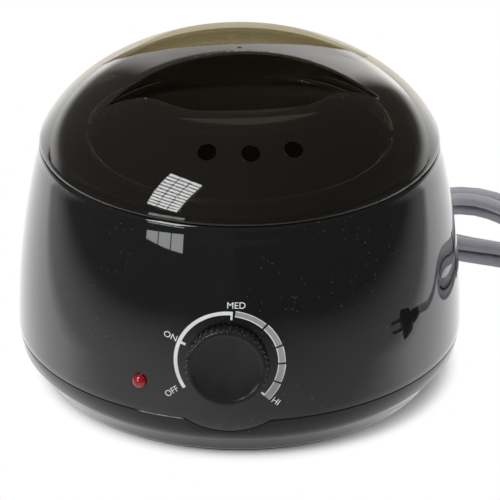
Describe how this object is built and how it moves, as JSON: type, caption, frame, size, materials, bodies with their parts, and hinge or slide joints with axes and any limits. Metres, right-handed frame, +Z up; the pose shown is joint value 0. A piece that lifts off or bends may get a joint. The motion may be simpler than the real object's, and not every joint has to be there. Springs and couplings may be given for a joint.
{
  "type": "wax warmer",
  "caption": "Round mains wax warmer: a black housing with a dial holds a heated pot and a lift-out can with a bail, under a smoked dome lid with a grip bridge.",
  "frame": {"origin": "on the table under the middle of the base, on the axis of the can", "axes": "+Z up along the axis of the can and the lid; the dial faces -Y; +X is to the right of someone who faces the dial; the cord leaves at +Y"},
  "size_m": [0.2929, 0.2608, 0.1423],
  "materials": {
    "gloss_black": "mirror-smooth black moulding",
    "casing_black": "satin-gloss black moulding",
    "knob_black": "satin black moulding",
    "smoked_lid": "clear smoked moulding",
    "red_lens": "clear red moulding",
    "foot_rubber": "soft, matt",
    "relief_rubber": "soft, satin",
    "can_metal": "spun, fine turning lines",
    "bail_wire": "bright drawn wire",
    "pot_aluminium": "spun, satin",
    "heater_steel": "heat-tinted steel",
    "zinc_steel": "zinc-plated",
    "brass_parts": "plain brass",
    "pin_metal": "nickel-plated",
    "glass_fibre": "woven glass-fibre sleeve",
    "cream_insulator": "moulded insulator",
    "board_green": "laminate with solder mask",
    "wire_jacket": "silicone insulation",
    "cord_jacket": "smooth flexible jacket",
    "tie_plastic": "soft flat strap",
    "plug_plastic": "moulded on the cord"
  },
  "bodies": {
    "base": {"housing": "gloss_black", "lower_casing": "casing_black", "rubber_feet": "foot_rubber", "casing_screws": "zinc_steel", "heating_pot": "pot_aluminium", "heater_band": "heater_steel", "band_screw": "zinc_steel", "insulation_sleeve": "glass_fibre", "pot_bracket": "zinc_steel", "bracket_screws": "zinc_steel", "pot_washer": "zinc_steel", "pot_nut": "zinc_steel", "thermal_fuse": "heater_steel", "fuse_clip": "zinc_steel", "thermostat_body": "cream_insulator", "thermostat_nut": "brass_parts", "indicator_lens": "red_lens", "indicator_board": "board_green", "terminal_block": "cream_insulator", "terminal_screws": "brass_parts", "cord_clamp": "casing_black", "clamp_screws": "zinc_steel", "wire_live": "wire_jacket", "wire_neutral": "wire_jacket", "wire_heater": "wire_jacket", "wire_lamp": "wire_jacket", "inlet_lead": "cord_jacket", "inlet_cores": "wire_jacket", "strain_relief": "relief_rubber", "mains_cord": "cord_jacket", "cord_tie": "tie_plastic", "plug_body": "plug_plastic", "plug_pins": "pin_metal"},
    "knob": {"control_knob": "knob_black", "thermostat_shaft": "zinc_steel", "knob_spring": "zinc_steel"},
    "can": {"wax_can": "can_metal", "can_ears": "can_metal", "ear_rivets": "zinc_steel"},
    "bail": {"bail_handle": "bail_wire"},
    "lid": {"lid": "smoked_lid"}
  },
  "joints": [
    {"name": "knob_turn", "type": "hinge", "parent": "base", "child": "knob", "pos_m": [0, -0.09141, 0.0455], "axis": [0, 0.9945, -0.1045], "range_deg": [0, 260]},
    {"name": "lid_lift", "type": "slide", "parent": "base", "child": "lid", "axis": [0, 0, 1], "range_m": [0, 0.16]},
    {"name": "can_lift", "type": "slide", "parent": "base", "child": "can", "axis": [0, 0, 1], "range_m": [0, 0.075]},
    {"name": "bail_swing", "type": "hinge", "parent": "can", "child": "bail", "pos_m": [0, 0, 0.1053], "axis": [1, 0, 0], "range_deg": [0, 180]}
  ],
  "couplings": [
    {"joint": "can_lift", "follows": "lid_lift", "ratio": 0.45},
    {"joint": "bail_swing", "follows": "lid_lift", "rad_per_m": 9.817}
  ]
}
